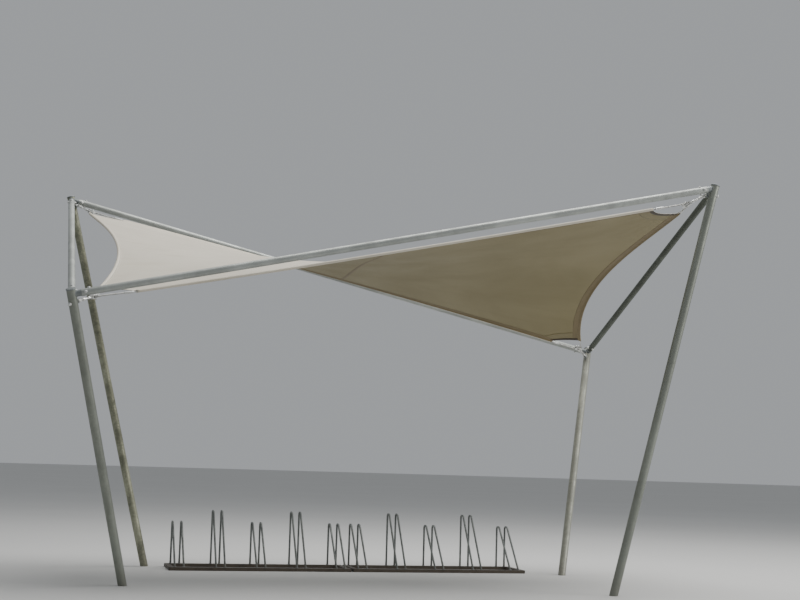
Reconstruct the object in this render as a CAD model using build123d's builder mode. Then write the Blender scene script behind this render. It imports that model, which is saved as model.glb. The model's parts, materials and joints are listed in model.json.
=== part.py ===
"""Tensioned membrane bike shelter with two five-place floor racks.

Four outward-leaning tube posts carry a closed ring of four tube beams whose corners are
alternately low and high. A saddle-shaped membrane hangs inside the ring, held at its four
corners by turnbuckles. X runs along the long beams, Y from front to back, Z up, and the
origin is on the ground under the middle of the ring. Millimetres.
"""
import os
from math import asin, degrees, sqrt

from build123d import *

# Frame: nodes are the points where the axes of a post and two beams meet
ring_length = 4500
ring_depth = 2400
low_corner_height = 1888
high_corner_height = 2920
low_foot_inset_x = 450
low_foot_inset_y = 620
high_foot_inset_x = 720
high_foot_inset_y = 80

# Tubes
post_diameter = 60.3
post_wall = 2.9
beam_diameter = 48.3
beam_wall = 2.6
stub_diameter = 42.4
stub_wall = 3.2
stub_length = 190
beam_end_gap = 62
post_rise_low = 33
post_rise_high = 20
weld_gap = 0.2

# Post caps
cap_overhang = 2.5
cap_thickness = 6
cap_edge_radius = 2.5

# Lugs for the turnbuckles
lug_drop = 58
lug_thickness = 8
lug_half_height = 15
lug_reach = 48
lug_hole_clearance = 0.4

# Corner discs that the edge cable runs round
disc_inset_x_low = 157
disc_inset_y_low = 176
disc_drop_low = -17
disc_inset_x_high = 168
disc_inset_y_high = 120
disc_drop_high = 112
disc_groove_radius = 20
disc_flange = 10
disc_thickness = 18

# Turnbuckles
pin_diameter = 10
fork_cheek = 5
fork_width = 18
fork_clearance = 0.6
fork_bridge = 8
fork_throat = 3
pin_end = 2
body_length = 64
body_boss_length = 13
body_boss_diameter = 19
body_bar_diameter = 7
body_bar_spread = 17
body_bar_root = 1
shank_diameter = 10
shank_grip = 18
thread_clearance = 0.2

# Edge cable and the pocket it runs in
cable_diameter = 10
pocket_width = 20
pocket_height = 22
bore_width = 12
bore_height = 14.5
cable_groove_clearance = 1.3

# Membrane: edge curves are cubic Bezier curves between the corner points
edge_inset_x_low = 110
edge_inset_y_low = 150
edge_drop_low = 3
edge_inset_x_high = 140
edge_inset_y_high = 90
edge_drop_high = 100
long_bow_low = 275
long_bow_high = 175
end_bow_low = 455
end_bow_high = 0
end_lift_low = 180
end_lift_high = 130
middle_sag = 185
membrane_thickness = 3
hem_width_long = 45
hem_width_side = 58
hem_thickness = 5
corner_cut_low_long = 340
corner_cut_low_side = 150
corner_cut_high_long = 290
corner_cut_high_side = 180
surface_margin = 0.03

# Floor racks
rack_pitch = 320
rack_places = 5
rack_end_margin = 80
rack_depth = 420
rack_start = -1370
rack_gap = 18
rack_centre_y = 925
rail_width = 40
rail_height = 25
rail_wall = 2
hoop_bar = 16
hoop_gap = 70
hoop_high = 455
hoop_low = 365
hoop_bend = 45
hoop_top_set_back = 60

os.makedirs("parts", exist_ok=True)

half_length = ring_length / 2
half_depth = ring_depth / 2
above_all = 2 * high_corner_height
cable_radius = cable_diameter / 2
wrap_radius = disc_groove_radius + cable_radius


def write(block, name):
    """Label a finished piece and write it to its own STEP file."""
    block.part.label = name
    export_step(block.part, f"parts/{name}.step")


def opposite(point):
    """The same point after half a turn about the vertical axis."""
    return Vector(-point.X, -point.Y, point.Z)


def node_of(side_x, side_y):
    """Where a post meets its two beams: low at front left and rear right."""
    height = low_corner_height if side_x == side_y else high_corner_height
    return Vector(side_x * half_length, side_y * half_depth, height)


def foot_of(side_x, side_y):
    """Where the post's axis meets the ground."""
    low = side_x == side_y
    inset_x = low_foot_inset_x if low else high_foot_inset_x
    inset_y = low_foot_inset_y if low else high_foot_inset_y
    return Vector(side_x * (half_length - inset_x), side_y * (half_depth - inset_y), 0)


def disc_centre_of(side_x, side_y):
    """Centre of the grooved disc at one corner of the membrane."""
    low = side_x == side_y
    inset_x = disc_inset_x_low if low else disc_inset_x_high
    inset_y = disc_inset_y_low if low else disc_inset_y_high
    drop = disc_drop_low if low else disc_drop_high
    height = node_of(side_x, side_y).Z - drop
    return Vector(side_x * (half_length - inset_x), side_y * (half_depth - inset_y), height)


def edge_corner_of(side_x, side_y):
    """Point where the curves of two membrane edges would meet."""
    low = side_x == side_y
    inset_x = edge_inset_x_low if low else edge_inset_x_high
    inset_y = edge_inset_y_low if low else edge_inset_y_high
    drop = edge_drop_low if low else edge_drop_high
    height = node_of(side_x, side_y).Z - drop
    return Vector(side_x * (half_length - inset_x), side_y * (half_depth - inset_y), height)


corners = {
    "front_left": (-1, -1),
    "rear_left": (-1, 1),
    "front_right": (1, -1),
    "rear_right": (1, 1),
}
post_axis = {name: (node_of(*s) - foot_of(*s)).normalized() for name, s in corners.items()}


# Membrane edge curves, each from its low corner to its high corner
low_corner = edge_corner_of(-1, -1)
front_high = edge_corner_of(1, -1)
left_high = edge_corner_of(-1, 1)


def edge_controls(start, end, bow_start, bow_end):
    """Control points of a cubic Bezier edge: the thirds of the chord, pulled by two bows."""
    chord = end - start
    return [start, start + chord * (1 / 3) + bow_start, start + chord * (2 / 3) + bow_end, end]


front_edge = edge_controls(
    low_corner, front_high, Vector(0, long_bow_low, 0), Vector(0, long_bow_high, 0)
)
left_edge = edge_controls(
    low_corner, left_high, Vector(end_bow_low, 0, end_lift_low), Vector(end_bow_high, 0, end_lift_high)
)
edges = {
    "front": (front_edge, "front_left", "front_right"),
    "left": (left_edge, "front_left", "rear_left"),
    "rear": ([opposite(p) for p in front_edge], "rear_right", "rear_left"),
    "right": ([opposite(p) for p in left_edge], "rear_right", "front_right"),
}


def bezier_section(controls, start, end):
    """Control points of the part of a cubic Bezier between two parameters (de Casteljau)."""

    def blossom(a, b, c):
        level = list(controls)
        for t in (a, b, c):
            level = [p * (1 - t) + q * t for p, q in zip(level, level[1:])]
        return level[0]

    return [
        blossom(start, start, start),
        blossom(start, start, end),
        blossom(start, end, end),
        blossom(end, end, end),
    ]


def cut_reach(corner):
    """Half lengths, along and across, of the elliptical cut at a corner of the membrane."""
    side_x, side_y = corners[corner]
    if side_x == side_y:
        return corner_cut_low_long, corner_cut_low_side
    return corner_cut_high_long, corner_cut_high_side


def share_at_cut(controls, corner_end, corner):
    """Curve parameter where an edge leaves a corner's cut, found by halving."""
    low, high = 0.0, 0.5
    origin = controls[0] if corner_end == 0 else controls[3]
    along, across = cut_reach(corner)
    for _ in range(40):
        middle = (low + high) / 2
        share = middle if corner_end == 0 else 1 - middle
        point = bezier_section(controls, share, share)[0]
        inside = ((point.X - origin.X) / along) ** 2 + ((point.Y - origin.Y) / across) ** 2 < 1
        low, high = (middle, high) if inside else (low, middle)
    return low if corner_end == 0 else 1 - low


# Posts, caps and stubs
for name, side in corners.items():
    foot = foot_of(*side)
    node = node_of(*side)
    axis = post_axis[name]
    below = foot - axis * post_diameter
    top = node + axis * (post_rise_low if side[0] == side[1] else post_rise_high)

    with BuildPart() as post:
        with BuildSketch(Plane(origin=below, z_dir=axis)):
            Circle(post_diameter / 2)
            Circle(post_diameter / 2 - post_wall, mode=Mode.SUBTRACT)
        extrude(amount=(top - below).length)
        split(bisect_by=Plane.XY, keep=Keep.TOP)
    write(post, f"post_{name}")

    with BuildPart() as cap:
        with BuildSketch(Plane(origin=top, z_dir=axis)):
            Circle(post_diameter / 2 + cap_overhang)
        extrude(amount=cap_thickness)
        fillet(cap.faces().sort_by(Axis(top, axis))[-1].edges(), cap_edge_radius)
    write(cap, f"post_cap_{name}")

    with BuildPart() as stubs:
        for neighbour in (node_of(-side[0], side[1]), node_of(side[0], -side[1])):
            with BuildSketch(Plane(origin=node, z_dir=neighbour - node)):
                Circle(stub_diameter / 2)
            extrude(amount=stub_length)
        with BuildSketch(Plane(origin=node - axis * post_diameter, z_dir=axis)):
            Circle(post_diameter / 2 + weld_gap)
        extrude(amount=2 * post_diameter, mode=Mode.SUBTRACT)
        for neighbour in (node_of(-side[0], side[1]), node_of(side[0], -side[1])):
            with BuildSketch(Plane(origin=node, z_dir=neighbour - node)):
                Circle(stub_diameter / 2 - stub_wall)
            extrude(amount=stub_length, mode=Mode.SUBTRACT)
    write(stubs, f"beam_stubs_{name}")

# Beams
beam_ends = {
    "front": ((-1, -1), (1, -1)),
    "rear": ((1, 1), (-1, 1)),
    "left": ((-1, -1), (-1, 1)),
    "right": ((1, 1), (1, -1)),
}
for name, (start, end) in beam_ends.items():
    run = node_of(*end) - node_of(*start)
    with BuildPart() as beam:
        with BuildSketch(Plane(origin=node_of(*start) + run.normalized() * beam_end_gap, z_dir=run)):
            Circle(beam_diameter / 2)
            Circle(beam_diameter / 2 - beam_wall, mode=Mode.SUBTRACT)
        extrude(amount=run.length - 2 * beam_end_gap)
    write(beam, f"beam_{name}")


# Lugs, turnbuckles and corner discs
disc_frame = {}
for name, side in corners.items():
    node = node_of(*side)
    axis = post_axis[name]
    disc_centre = disc_centre_of(*side)
    lug_centre = node - axis * lug_drop
    reach = disc_centre - lug_centre
    outward = (reach - axis * reach.dot(axis)).normalized()
    lug_plane = Plane(origin=lug_centre, x_dir=outward, z_dir=axis.cross(outward))
    eye = lug_centre + outward * lug_reach
    hole_diameter = pin_diameter + 2 * lug_hole_clearance

    with BuildPart() as lug:
        with BuildSketch(lug_plane):
            with Locations((lug_reach / 2, 0)):
                Rectangle(lug_reach, 2 * lug_half_height)
            with Locations((lug_reach, 0)):
                Circle(lug_half_height)
                Circle(hole_diameter / 2, mode=Mode.SUBTRACT)
        extrude(amount=lug_thickness / 2, both=True)
        with BuildSketch(Plane(origin=lug_centre - axis * post_diameter, z_dir=axis)):
            Circle(post_diameter / 2 + weld_gap)
        extrude(amount=2 * post_diameter, mode=Mode.SUBTRACT)
    write(lug, f"lug_{name}")

    # The turnbuckle lies on the line from the lug's eye to the disc's centre
    pull = disc_centre - eye
    along = pull.normalized()
    across = lug_plane.z_dir
    upright = across.cross(along).normalized()
    if upright.Z < 0:
        upright = upright * -1
    disc_frame[name] = Plane(origin=disc_centre, x_dir=along, z_dir=upright)

    with BuildPart() as disc:
        with BuildSketch(Plane(origin=disc_centre, x_dir=along, z_dir=across)):
            with Locations(((disc_groove_radius + disc_flange) / 2, 0)):
                Rectangle(disc_groove_radius + disc_flange, disc_thickness)
            with Locations((wrap_radius, 0)):
                Circle(cable_radius + cable_groove_clearance, mode=Mode.SUBTRACT)
            with Locations((wrap_radius + disc_flange, 0)):
                Rectangle(
                    2 * disc_flange, 2 * (cable_radius + cable_groove_clearance), mode=Mode.SUBTRACT
                )
            with Locations((pin_diameter / 4 + lug_hole_clearance / 2, 0)):
                Rectangle(pin_diameter / 2 + lug_hole_clearance, disc_thickness, mode=Mode.SUBTRACT)
        revolve(axis=Axis(disc_centre, upright))
    write(disc, f"corner_disc_{name}")

    lug_fork_depth = lug_half_height + fork_throat
    disc_fork_depth = disc_groove_radius + disc_flange + fork_throat
    middle_start = lug_fork_depth + fork_bridge
    middle_end = pull.length - disc_fork_depth - fork_bridge
    body_start = (middle_start + middle_end - body_length) / 2
    body_end = pull.length - body_start - body_length
    jaws = (
        (eye, along, across, lug_thickness, lug_fork_depth, body_start),
        (disc_centre, along * -1, upright, disc_thickness, disc_fork_depth, body_end),
    )
    with BuildPart() as jaw_pair:
        for pin_centre, to_body, pin_axis, held, depth, to_boss in jaws:
            cheek_plane = Plane(origin=pin_centre, x_dir=to_body, z_dir=pin_axis)
            inner = held / 2 + fork_clearance
            for turn in (1, -1):
                cheek_start = cheek_plane.offset(turn * inner)
                with BuildSketch(cheek_start):
                    Circle(fork_width / 2)
                    with Locations(((depth + fork_bridge) / 2, 0)):
                        Rectangle(depth + fork_bridge, fork_width)
                extrude(amount=turn * fork_cheek)
            with BuildSketch(cheek_plane):
                with Locations((depth + fork_bridge / 2, 0)):
                    Rectangle(fork_bridge, fork_width)
            extrude(amount=inner + fork_cheek, both=True)
            with BuildSketch(cheek_plane):
                Circle(pin_diameter / 2)
            extrude(amount=inner + fork_cheek + pin_end, both=True)
            with BuildSketch(Plane(origin=pin_centre + to_body * depth, z_dir=to_body)):
                Circle(shank_diameter / 2)
            extrude(amount=to_boss + shank_grip - depth)
    write(jaw_pair, f"turnbuckle_jaws_{name}")

    with BuildPart() as body:
        body_plane = Plane(origin=eye + along * body_start, x_dir=across, z_dir=along)
        for boss_start in (0, body_length - body_boss_length):
            with BuildSketch(body_plane.offset(boss_start)):
                Circle(body_boss_diameter / 2)
                for turn in (1, -1):
                    with Locations((turn * body_bar_spread / 2, 0)):
                        Circle(body_bar_diameter / 2 + body_bar_root)
            extrude(amount=body_boss_length)
        with BuildSketch(body_plane):
            with Locations((body_bar_spread / 2, 0), (-body_bar_spread / 2, 0)):
                Circle(body_bar_diameter / 2)
        extrude(amount=body_length)
        with BuildSketch(body_plane):
            Circle(shank_diameter / 2 + thread_clearance)
        extrude(amount=body_length, mode=Mode.SUBTRACT)
    write(body, f"turnbuckle_body_{name}")


def wrap_point(corner, toward):
    """Where a cable that comes from a point leaves the disc's groove, and its direction."""
    frame = disc_frame[corner]
    local = frame.to_local_coords(toward)
    flat = Vector(local.X, local.Y, 0)
    turn = 1 if flat.Y > 0 else -1
    back = flat.normalized() * -1
    heading = back.rotate(Axis.Z, -turn * degrees(asin(wrap_radius / flat.length)))
    run = sqrt(flat.length**2 - wrap_radius**2)
    touch = flat + heading * run
    leaving = frame.from_local_coords(touch)
    return leaving, frame.from_local_coords(touch + heading) - leaving


# Edge cables: along the edge, then over to the disc and half-way round it
for name, (controls, start_corner, end_corner) in edges.items():
    share_start = share_at_cut(controls, 0, start_corner)
    share_end = share_at_cut(controls, 1, end_corner)
    section = bezier_section(controls, share_start, share_end)
    with BuildPart() as cable:
        with BuildLine() as path:
            middle = Bezier(*section)
            for corner, spot, heading in (
                (start_corner, middle @ 0, (middle % 0) * -1),
                (end_corner, middle @ 1, middle % 1),
            ):
                touch, arrival = wrap_point(corner, spot)
                frame = disc_frame[corner]
                half_way = frame.from_local_coords(Vector(-wrap_radius, 0, 0))
                Spline(spot, touch, tangents=(heading, arrival))
                TangentArc(touch, half_way, tangent=arrival)
        wire = path.wires()[0]
        with BuildSketch(Plane(origin=wire @ 0, z_dir=wire % 0)):
            Circle(cable_radius)
        sweep(path=wire)
    write(cable, f"edge_cable_{name}")


def coons_grid():
    """Sixteen control points of the surface that the four edge curves bound."""
    front = edges["front"][0]
    rear = list(reversed(edges["rear"][0]))
    left = edges["left"][0]
    right = list(reversed(edges["right"][0]))
    rows = []
    for i in range(4):
        u = i / 3
        row = []
        for j in range(4):
            v = j / 3
            ruled_v = front[i] * (1 - v) + rear[i] * v
            ruled_u = left[j] * (1 - u) + right[j] * u
            flat = (front[0] * (1 - u) + front[3] * u) * (1 - v) + (rear[0] * (1 - u) + rear[3] * u) * v
            sag = Vector(0, 0, middle_sag) if i in (1, 2) and j in (1, 2) else Vector(0, 0, 0)
            row.append(ruled_v + ruled_u - flat - sag)
        rows.append(row)
    return rows


saddle = Face.make_bezier_surface(coons_grid())


def beside(controls, distance):
    """Plan points of an edge's Bezier curve moved sideways, inward where distance is positive."""
    moved = []
    for ahead, pair in ((controls[1] - controls[0], controls[:2]), (controls[3] - controls[2], controls[2:])):
        sideways = Vector(-ahead.Y, ahead.X, 0).normalized()
        if sideways.dot(controls[0]) > 0:
            sideways = sideways * -1
        moved += [p + sideways * distance for p in pair]
    return [(p.X, p.Y) for p in moved]


def band_face(controls, reach):
    """Face of the strip within a reach of one edge, seen from above."""
    with BuildLine() as strip:
        outer = Bezier(*beside(controls, -reach))
        inner = Bezier(*beside(controls, reach))
        Line(outer @ 0, inner @ 0)
        Line(outer @ 1, inner @ 1)
    make_face(strip.edges())


def corner_face(corner):
    """Ellipse of the concave cut at one corner, seen from above."""
    centre = edge_corner_of(*corners[corner])
    with Locations((centre.X, centre.Y)):
        Ellipse(*cut_reach(corner))


def hem_width(name):
    """How far a hem's flap reaches in from the edge."""
    return hem_width_long if name in ("front", "rear") else hem_width_side


def wider_grid():
    """Control points of the same surface carried on a little past its four edges."""
    rows = [bezier_section(row, -surface_margin, 1 + surface_margin) for row in coons_grid()]
    columns = [bezier_section(column, -surface_margin, 1 + surface_margin) for column in zip(*rows)]
    return [list(row) for row in zip(*columns)]


wider_saddle = Face.make_bezier_surface(wider_grid())

with BuildPart() as membrane:
    extrude(saddle.moved(Location((0, 0, -membrane_thickness / 2))), amount=membrane_thickness, dir=(0, 0, 1))
    for name, (controls, _, _) in edges.items():
        with BuildSketch():
            band_face(controls, hem_width(name))
        extrude(amount=above_all, mode=Mode.SUBTRACT)
    for corner in corners:
        with BuildSketch():
            corner_face(corner)
        extrude(amount=above_all, mode=Mode.SUBTRACT)
write(membrane, "membrane")

for name, (controls, start_corner, end_corner) in edges.items():
    with BuildPart() as pocket:
        extrude(wider_saddle.moved(Location((0, 0, -pocket_height / 2))), amount=pocket_height, dir=(0, 0, 1))
        with BuildSketch():
            band_face(controls, pocket_width / 2)
        extrude(amount=above_all, mode=Mode.INTERSECT)
    with BuildPart() as bore:
        extrude(wider_saddle.moved(Location((0, 0, -bore_height / 2))), amount=bore_height, dir=(0, 0, 1))
        with BuildSketch():
            band_face(controls, bore_width / 2)
        extrude(amount=above_all, mode=Mode.INTERSECT)
    with BuildPart() as hem:
        extrude(saddle.moved(Location((0, 0, -hem_thickness / 2))), amount=hem_thickness, dir=(0, 0, 1))
        with BuildSketch():
            band_face(controls, hem_width(name))
        extrude(amount=above_all, mode=Mode.INTERSECT)
        add(pocket.part)
        add(bore.part, mode=Mode.SUBTRACT)
        for corner in (start_corner, end_corner):
            with BuildSketch():
                corner_face(corner)
            extrude(amount=above_all, mode=Mode.SUBTRACT)
    write(hem, f"hem_{name}")

# Floor racks
rack_length = (rack_places - 1) * rack_pitch + 2 * rack_end_margin
for rack_name, rack_left in (("left", rack_start), ("right", rack_start + rack_length + rack_gap)):
    rack_middle = rack_left + rack_length / 2
    rail_offset = rack_depth / 2 - rail_width / 2

    with BuildPart() as base:
        for turn in (1, -1):
            with BuildSketch(Plane.YZ.offset(rack_left)):
                with Locations((rack_centre_y + turn * rail_offset, rail_height / 2)):
                    Rectangle(rail_width, rail_height)
                    Rectangle(rail_width - 2 * rail_wall, rail_height - 2 * rail_wall, mode=Mode.SUBTRACT)
            extrude(amount=rack_length)
        with BuildSketch(Plane.XZ.offset(-(rack_centre_y - rail_offset + rail_width / 2))):
            for bar_x in (rack_left + rail_width / 2, rack_left + rack_length - rail_width / 2):
                with Locations((bar_x, rail_height / 2)):
                    Rectangle(rail_width, rail_height)
                    Rectangle(rail_width - 2 * rail_wall, rail_height - 2 * rail_wall, mode=Mode.SUBTRACT)
        extrude(amount=-(rack_depth - 2 * rail_width))
    write(base, f"rack_base_{rack_name}")

    with BuildPart() as hoops:
        for place in range(rack_places):
            top_height = hoop_low if place % 2 == 0 else hoop_high
            for turn in (1, -1):
                hoop_x = rack_left + rack_end_margin + place * rack_pitch + turn * hoop_gap / 2
                with BuildLine(Plane.YZ.offset(hoop_x)) as hoop_line:
                    FilletPolyline(
                        (rack_centre_y - rail_offset, rail_height / 2),
                        (rack_centre_y + rail_offset - hoop_top_set_back, top_height - hoop_bar / 2),
                        (rack_centre_y + rail_offset, top_height - hoop_bar / 2),
                        (rack_centre_y + rail_offset, rail_height / 2),
                        radius=hoop_bend / 2,
                    )
                hoop_wire = hoop_line.wires()[0]
                with BuildSketch(Plane(origin=hoop_wire @ 0, z_dir=hoop_wire % 0)):
                    Circle(hoop_bar / 2)
                sweep(path=hoop_wire)
        split(bisect_by=Plane.XY.offset(rail_height), keep=Keep.TOP)
    write(hoops, f"rack_hoops_{rack_name}")
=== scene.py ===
"""Looks of a tensioned membrane bicycle shelter, laid out as a Blender add-on and run as a script.

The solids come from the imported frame. This file adds the cloth roof with its hems, seams and
corner patches, the twisted wire ropes, bolts, threads and weld beads, and all the finishes.
Metres. X runs along the long beams, Y from front to back, Z up.
"""
import json
import math

import bmesh
import bpy
import numpy as np
from bpy.props import FloatProperty, FloatVectorProperty, IntProperty, PointerProperty
from mathutils import Matrix, Vector

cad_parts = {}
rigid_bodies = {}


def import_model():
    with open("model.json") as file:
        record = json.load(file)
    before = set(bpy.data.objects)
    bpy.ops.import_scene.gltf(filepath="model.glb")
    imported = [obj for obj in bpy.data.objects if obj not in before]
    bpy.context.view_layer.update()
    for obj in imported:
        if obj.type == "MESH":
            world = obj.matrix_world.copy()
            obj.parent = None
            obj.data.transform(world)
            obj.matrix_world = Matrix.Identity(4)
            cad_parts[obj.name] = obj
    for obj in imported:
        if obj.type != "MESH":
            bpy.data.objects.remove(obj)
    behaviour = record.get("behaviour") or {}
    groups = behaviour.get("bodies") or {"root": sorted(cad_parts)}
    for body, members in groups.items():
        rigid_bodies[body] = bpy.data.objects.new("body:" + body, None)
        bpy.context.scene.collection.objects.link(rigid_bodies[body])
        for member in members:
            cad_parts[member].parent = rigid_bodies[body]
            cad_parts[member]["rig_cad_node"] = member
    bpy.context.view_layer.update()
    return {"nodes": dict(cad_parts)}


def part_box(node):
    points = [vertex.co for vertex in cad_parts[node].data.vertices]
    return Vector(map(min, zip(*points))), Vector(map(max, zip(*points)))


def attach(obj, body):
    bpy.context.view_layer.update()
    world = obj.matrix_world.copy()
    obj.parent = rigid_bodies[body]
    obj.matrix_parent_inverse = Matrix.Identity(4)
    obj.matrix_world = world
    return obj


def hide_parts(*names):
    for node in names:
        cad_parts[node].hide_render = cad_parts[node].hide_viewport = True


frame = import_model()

bl_info = {
    "name": "Membrane bicycle shelter",
    "version": (1, 0, 0),
    "blender": (4, 5, 0),
    "location": "View3D > Sidebar > Shelter",
    "description": "Roof cloth, ropes, fixings and finishes of a membrane bicycle shelter",
    "category": "Object",
}

HALF_TURN = np.array([-1.0, -1.0, 1.0])
UP = np.array([0.0, 0.0, 1.0])

CORNERS = {"front_left": (-1, -1), "rear_left": (-1, 1), "front_right": (1, -1), "rear_right": (1, 1)}
NEIGHBOURS = {
    "front_left": ("front_right", "rear_left"),
    "rear_left": ("rear_right", "front_left"),
    "front_right": ("front_left", "rear_right"),
    "rear_right": ("rear_left", "front_right"),
}
OPPOSITE = {"front": "rear", "left": "right", "front_left": "rear_right", "front_right": "rear_left"}


def length(name, description, default):
    """A length in metres for a property group."""
    return FloatProperty(name=name, description=description, default=default, unit="LENGTH",
                         subtype="DISTANCE")


def place(name, description, default):
    """Three lengths in metres for a property group."""
    return FloatVectorProperty(name=name, description=description, default=default, size=3, unit="LENGTH",
                               subtype="TRANSLATION")


def colour(name, description, default):
    """A linear colour for a property group."""
    return FloatVectorProperty(name=name, description=description, default=default, size=3, min=0, max=1,
                               subtype="COLOR")


class ShelterSizes(bpy.types.PropertyGroup):
    """Sizes that the added pieces are worked out from; the first group repeats the solids' own."""

    ring_length: length("Ring length", "Between the node points along X", 4.5)
    ring_depth: length("Ring depth", "Between the node points along Y", 2.4)
    low_height: length("Low corner height", "Node height at the front left and rear right", 1.888)
    high_height: length("High corner height", "Node height at the other two corners", 2.92)
    low_foot: place("Low post foot", "How far the foot stands in from its node", (0.45, 0.62, 0))
    high_foot: place("High post foot", "How far the foot stands in from its node", (0.72, 0.08, 0))
    low_disc: place("Low disc", "Insets and height of the low corner discs", (0.157, 0.176, 1.905))
    high_disc: place("High disc", "Insets and height of the high corner discs", (0.168, 0.120, 2.808))
    low_edge: place("Low edge corner", "Insets and height where two edges would meet", (0.110, 0.150, 1.885))
    high_edge: place("High edge corner", "Insets and height where two edges would meet",
                     (0.140, 0.090, 2.820))
    long_bows: place("Long edge bows", "Inward pull at the low and high third", (0.275, 0.175, 0))
    end_bow: length("End edge bow", "Inward pull at the low third", 0.455)
    end_lifts: place("End edge lifts", "Upward pull at the low and high third", (0.180, 0.130, 0))
    middle_sag: length("Middle sag", "Drop of the middle control points below the ruled surface", 0.185)
    low_cut: place("Low corner cut", "Half lengths of the elliptical cut along X and Y", (0.340, 0.125, 0))
    high_cut: place("High corner cut", "Half lengths of the elliptical cut along X and Y", (0.290, 0.180, 0))
    cap_welds: place("Cap welds", "Height above the node at the low and high corners", (0.0318, 0.0188, 0))
    post_radius: length("Post radius", "Outside", 0.03015)
    beam_radius: length("Beam radius", "Outside", 0.02415)
    stub_radius: length("Stub radius", "Outside", 0.0212)
    groove_radius: length("Groove radius", "Bottom of the corner disc's groove", 0.020)
    rope_radius: length("Rope radius", "Over the strands", 0.005)
    rope_lay: length("Rope lay", "Length of one turn of a strand", 0.062)
    cloth: length("Cloth thickness", "Coated fabric", 0.0012)
    pocket_radius: length("Pocket radius", "Outside of the hem's pocket round the rope", 0.010)
    long_hem: length("Long hem width", "From the rope to the weld's inner edge, front and rear", 0.045)
    side_hem: length("Side hem width", "From the rope to the weld's inner edge, left and right", 0.058)
    patch_width: length("Patch width", "Doubled cloth at the corners, from the cut", 0.10)
    tape_width: length("Tape width", "Edge tape folded over the corner cuts", 0.026)
    seam_width: length("Seam width", "Overlap of the two cloth panels", 0.022)
    seam_ends: place("Seam ends", "X of the panel seam at the front and rear edges", (-0.128, -0.053, 0))
    wrinkle: length("Wrinkle", "Height of the tension wrinkles near the corners", 0.0011)
    bolt_radius: length("Bolt radius", "Through bolts of the beams", 0.005)
    bolt_place: length("Bolt place", "First bolt from the node along the beam", 0.088)
    lug_drop: length("Lug drop", "Below the node along the post", 0.058)
    lug_reach: length("Lug reach", "From the post's axis to the eye", 0.048)
    grid_long: IntProperty(name="Grid along", description="Cloth grid along X", default=190, min=20, max=400)
    grid_side: IntProperty(name="Grid across", description="Cloth grid across", default=74, min=10, max=200)


class ShelterColours(bpy.types.PropertyGroup):
    """Main colour of each finish."""

    zinc: colour("Galvanised steel", "Front, rear and left beams", (0.375, 0.395, 0.375))
    zinc_grey: colour("Grey galvanised steel", "Front posts", (0.25, 0.266, 0.232))
    # Painted shade and tree shadow: the right side beam's zinc darkened for the shade it stood in
    zinc_dark_painted_shade: colour("Dark galvanised steel", "Right side beam", (0.095, 0.107, 0.088))
    zinc_old: colour("Old galvanised steel", "Rear left post", (0.37, 0.378, 0.28))
    zinc_pale: colour("Pale galvanised steel", "Rear right post", (0.43, 0.435, 0.375))
    zinc_dull: colour("Dull zinc", "Stubs, lugs and caps", (0.24, 0.26, 0.26))
    bright: colour("Bright zinc", "Turnbuckles, discs and bolts", (0.68, 0.69, 0.68))
    rope: colour("Wire rope", "Edge ropes", (0.55, 0.55, 0.53))
    cloth_top: colour("Cloth, top", "Upper side of the roof", (0.62, 0.575, 0.48))
    # Darker than the top though the cloth is one colour on both sides: painted shade of the roof's underside
    cloth_under: colour("Cloth, underside", "Lower side of the roof", (0.243, 0.205, 0.100))
    # Painted shade: the doubled cloth seen from below, darkened for its shadow and for less light coming
    # through
    hem_under: colour("Hem, underside", "Doubled cloth seen from below", (0.185, 0.142, 0.068))
    # Nearly black: painted shade under the folded edge tape along the corner cuts
    tape: colour("Edge tape", "Webbing over the corner cuts", (0.042, 0.029, 0.016))
    rail: colour("Rack rails", "Dirty galvanised rails", (0.075, 0.065, 0.055))
    hoop: colour("Rack hoops", "Worn galvanised bars", (0.175, 0.19, 0.183))
    plug: colour("Rail plugs", "Plastic", (0.02, 0.02, 0.02))
    floor: colour("Floor", "Studio floor", (0.58, 0.58, 0.57))


# Shapes as arrays

def unit(a):
    """Each vector divided by its length."""
    return a / np.linalg.norm(a, axis=-1, keepdims=True)


def weights(t):
    """Cubic Bernstein weights of t: (1-t)^3, 3t(1-t)^2, 3t^2(1-t) and t^3."""
    t = np.asarray(t, float)[..., None]
    s = 1 - t
    return np.concatenate([s**3, 3 * t * s * s, 3 * t * t * s, t**3], -1)


def slopes(t):
    """Derivatives of the four Bernstein weights."""
    t = np.asarray(t, float)[..., None]
    s = 1 - t
    return np.concatenate([-3 * s * s, 3 * s * s - 6 * t * s, 6 * t * s - 3 * t * t, 3 * t * t], -1)


def on_net(net, u, v, along=weights, across=weights):
    """Sum of the sixteen control points times the weights of u and of v."""
    return np.einsum("...i,...j,ijk->...k", along(u), across(v), net)


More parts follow.
